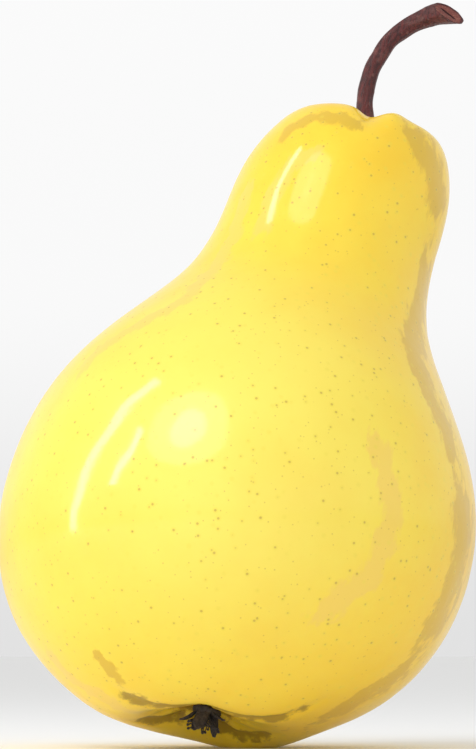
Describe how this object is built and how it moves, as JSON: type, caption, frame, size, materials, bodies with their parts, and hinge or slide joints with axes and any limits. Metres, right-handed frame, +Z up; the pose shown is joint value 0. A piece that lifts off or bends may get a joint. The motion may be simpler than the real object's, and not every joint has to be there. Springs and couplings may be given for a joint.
{
  "type": "pear",
  "caption": "Ripe yellow pear with a leaning neck, a curved woody stem cut at a slant and a dried calyx, standing on a small flat spot.",
  "frame": {"origin": "middle of the flat spot that the pear rests on, on the floor", "axes": "+Z up, along the pear's height; -Y is the front, where the calyx shows; +X is the side that the neck leans to"},
  "size_m": [0.0722, 0.0715, 0.1168],
  "materials": {
    "pear_skin": "smooth waxy skin with a soft sheen, fine lenticels and faint russet",
    "stem_bark": "dry matt bark with fine ridges along the stem",
    "calyx_dry": "withered, dry and matt"
  },
  "bodies": {
    "root": {"pear_body": "pear_skin", "stem": "stem_bark", "sepal_1": "calyx_dry", "sepal_2": "calyx_dry", "sepal_3": "calyx_dry", "sepal_4": "calyx_dry", "sepal_5": "calyx_dry", "stamen_tuft": "calyx_dry"}
  },
  "joints": []
}
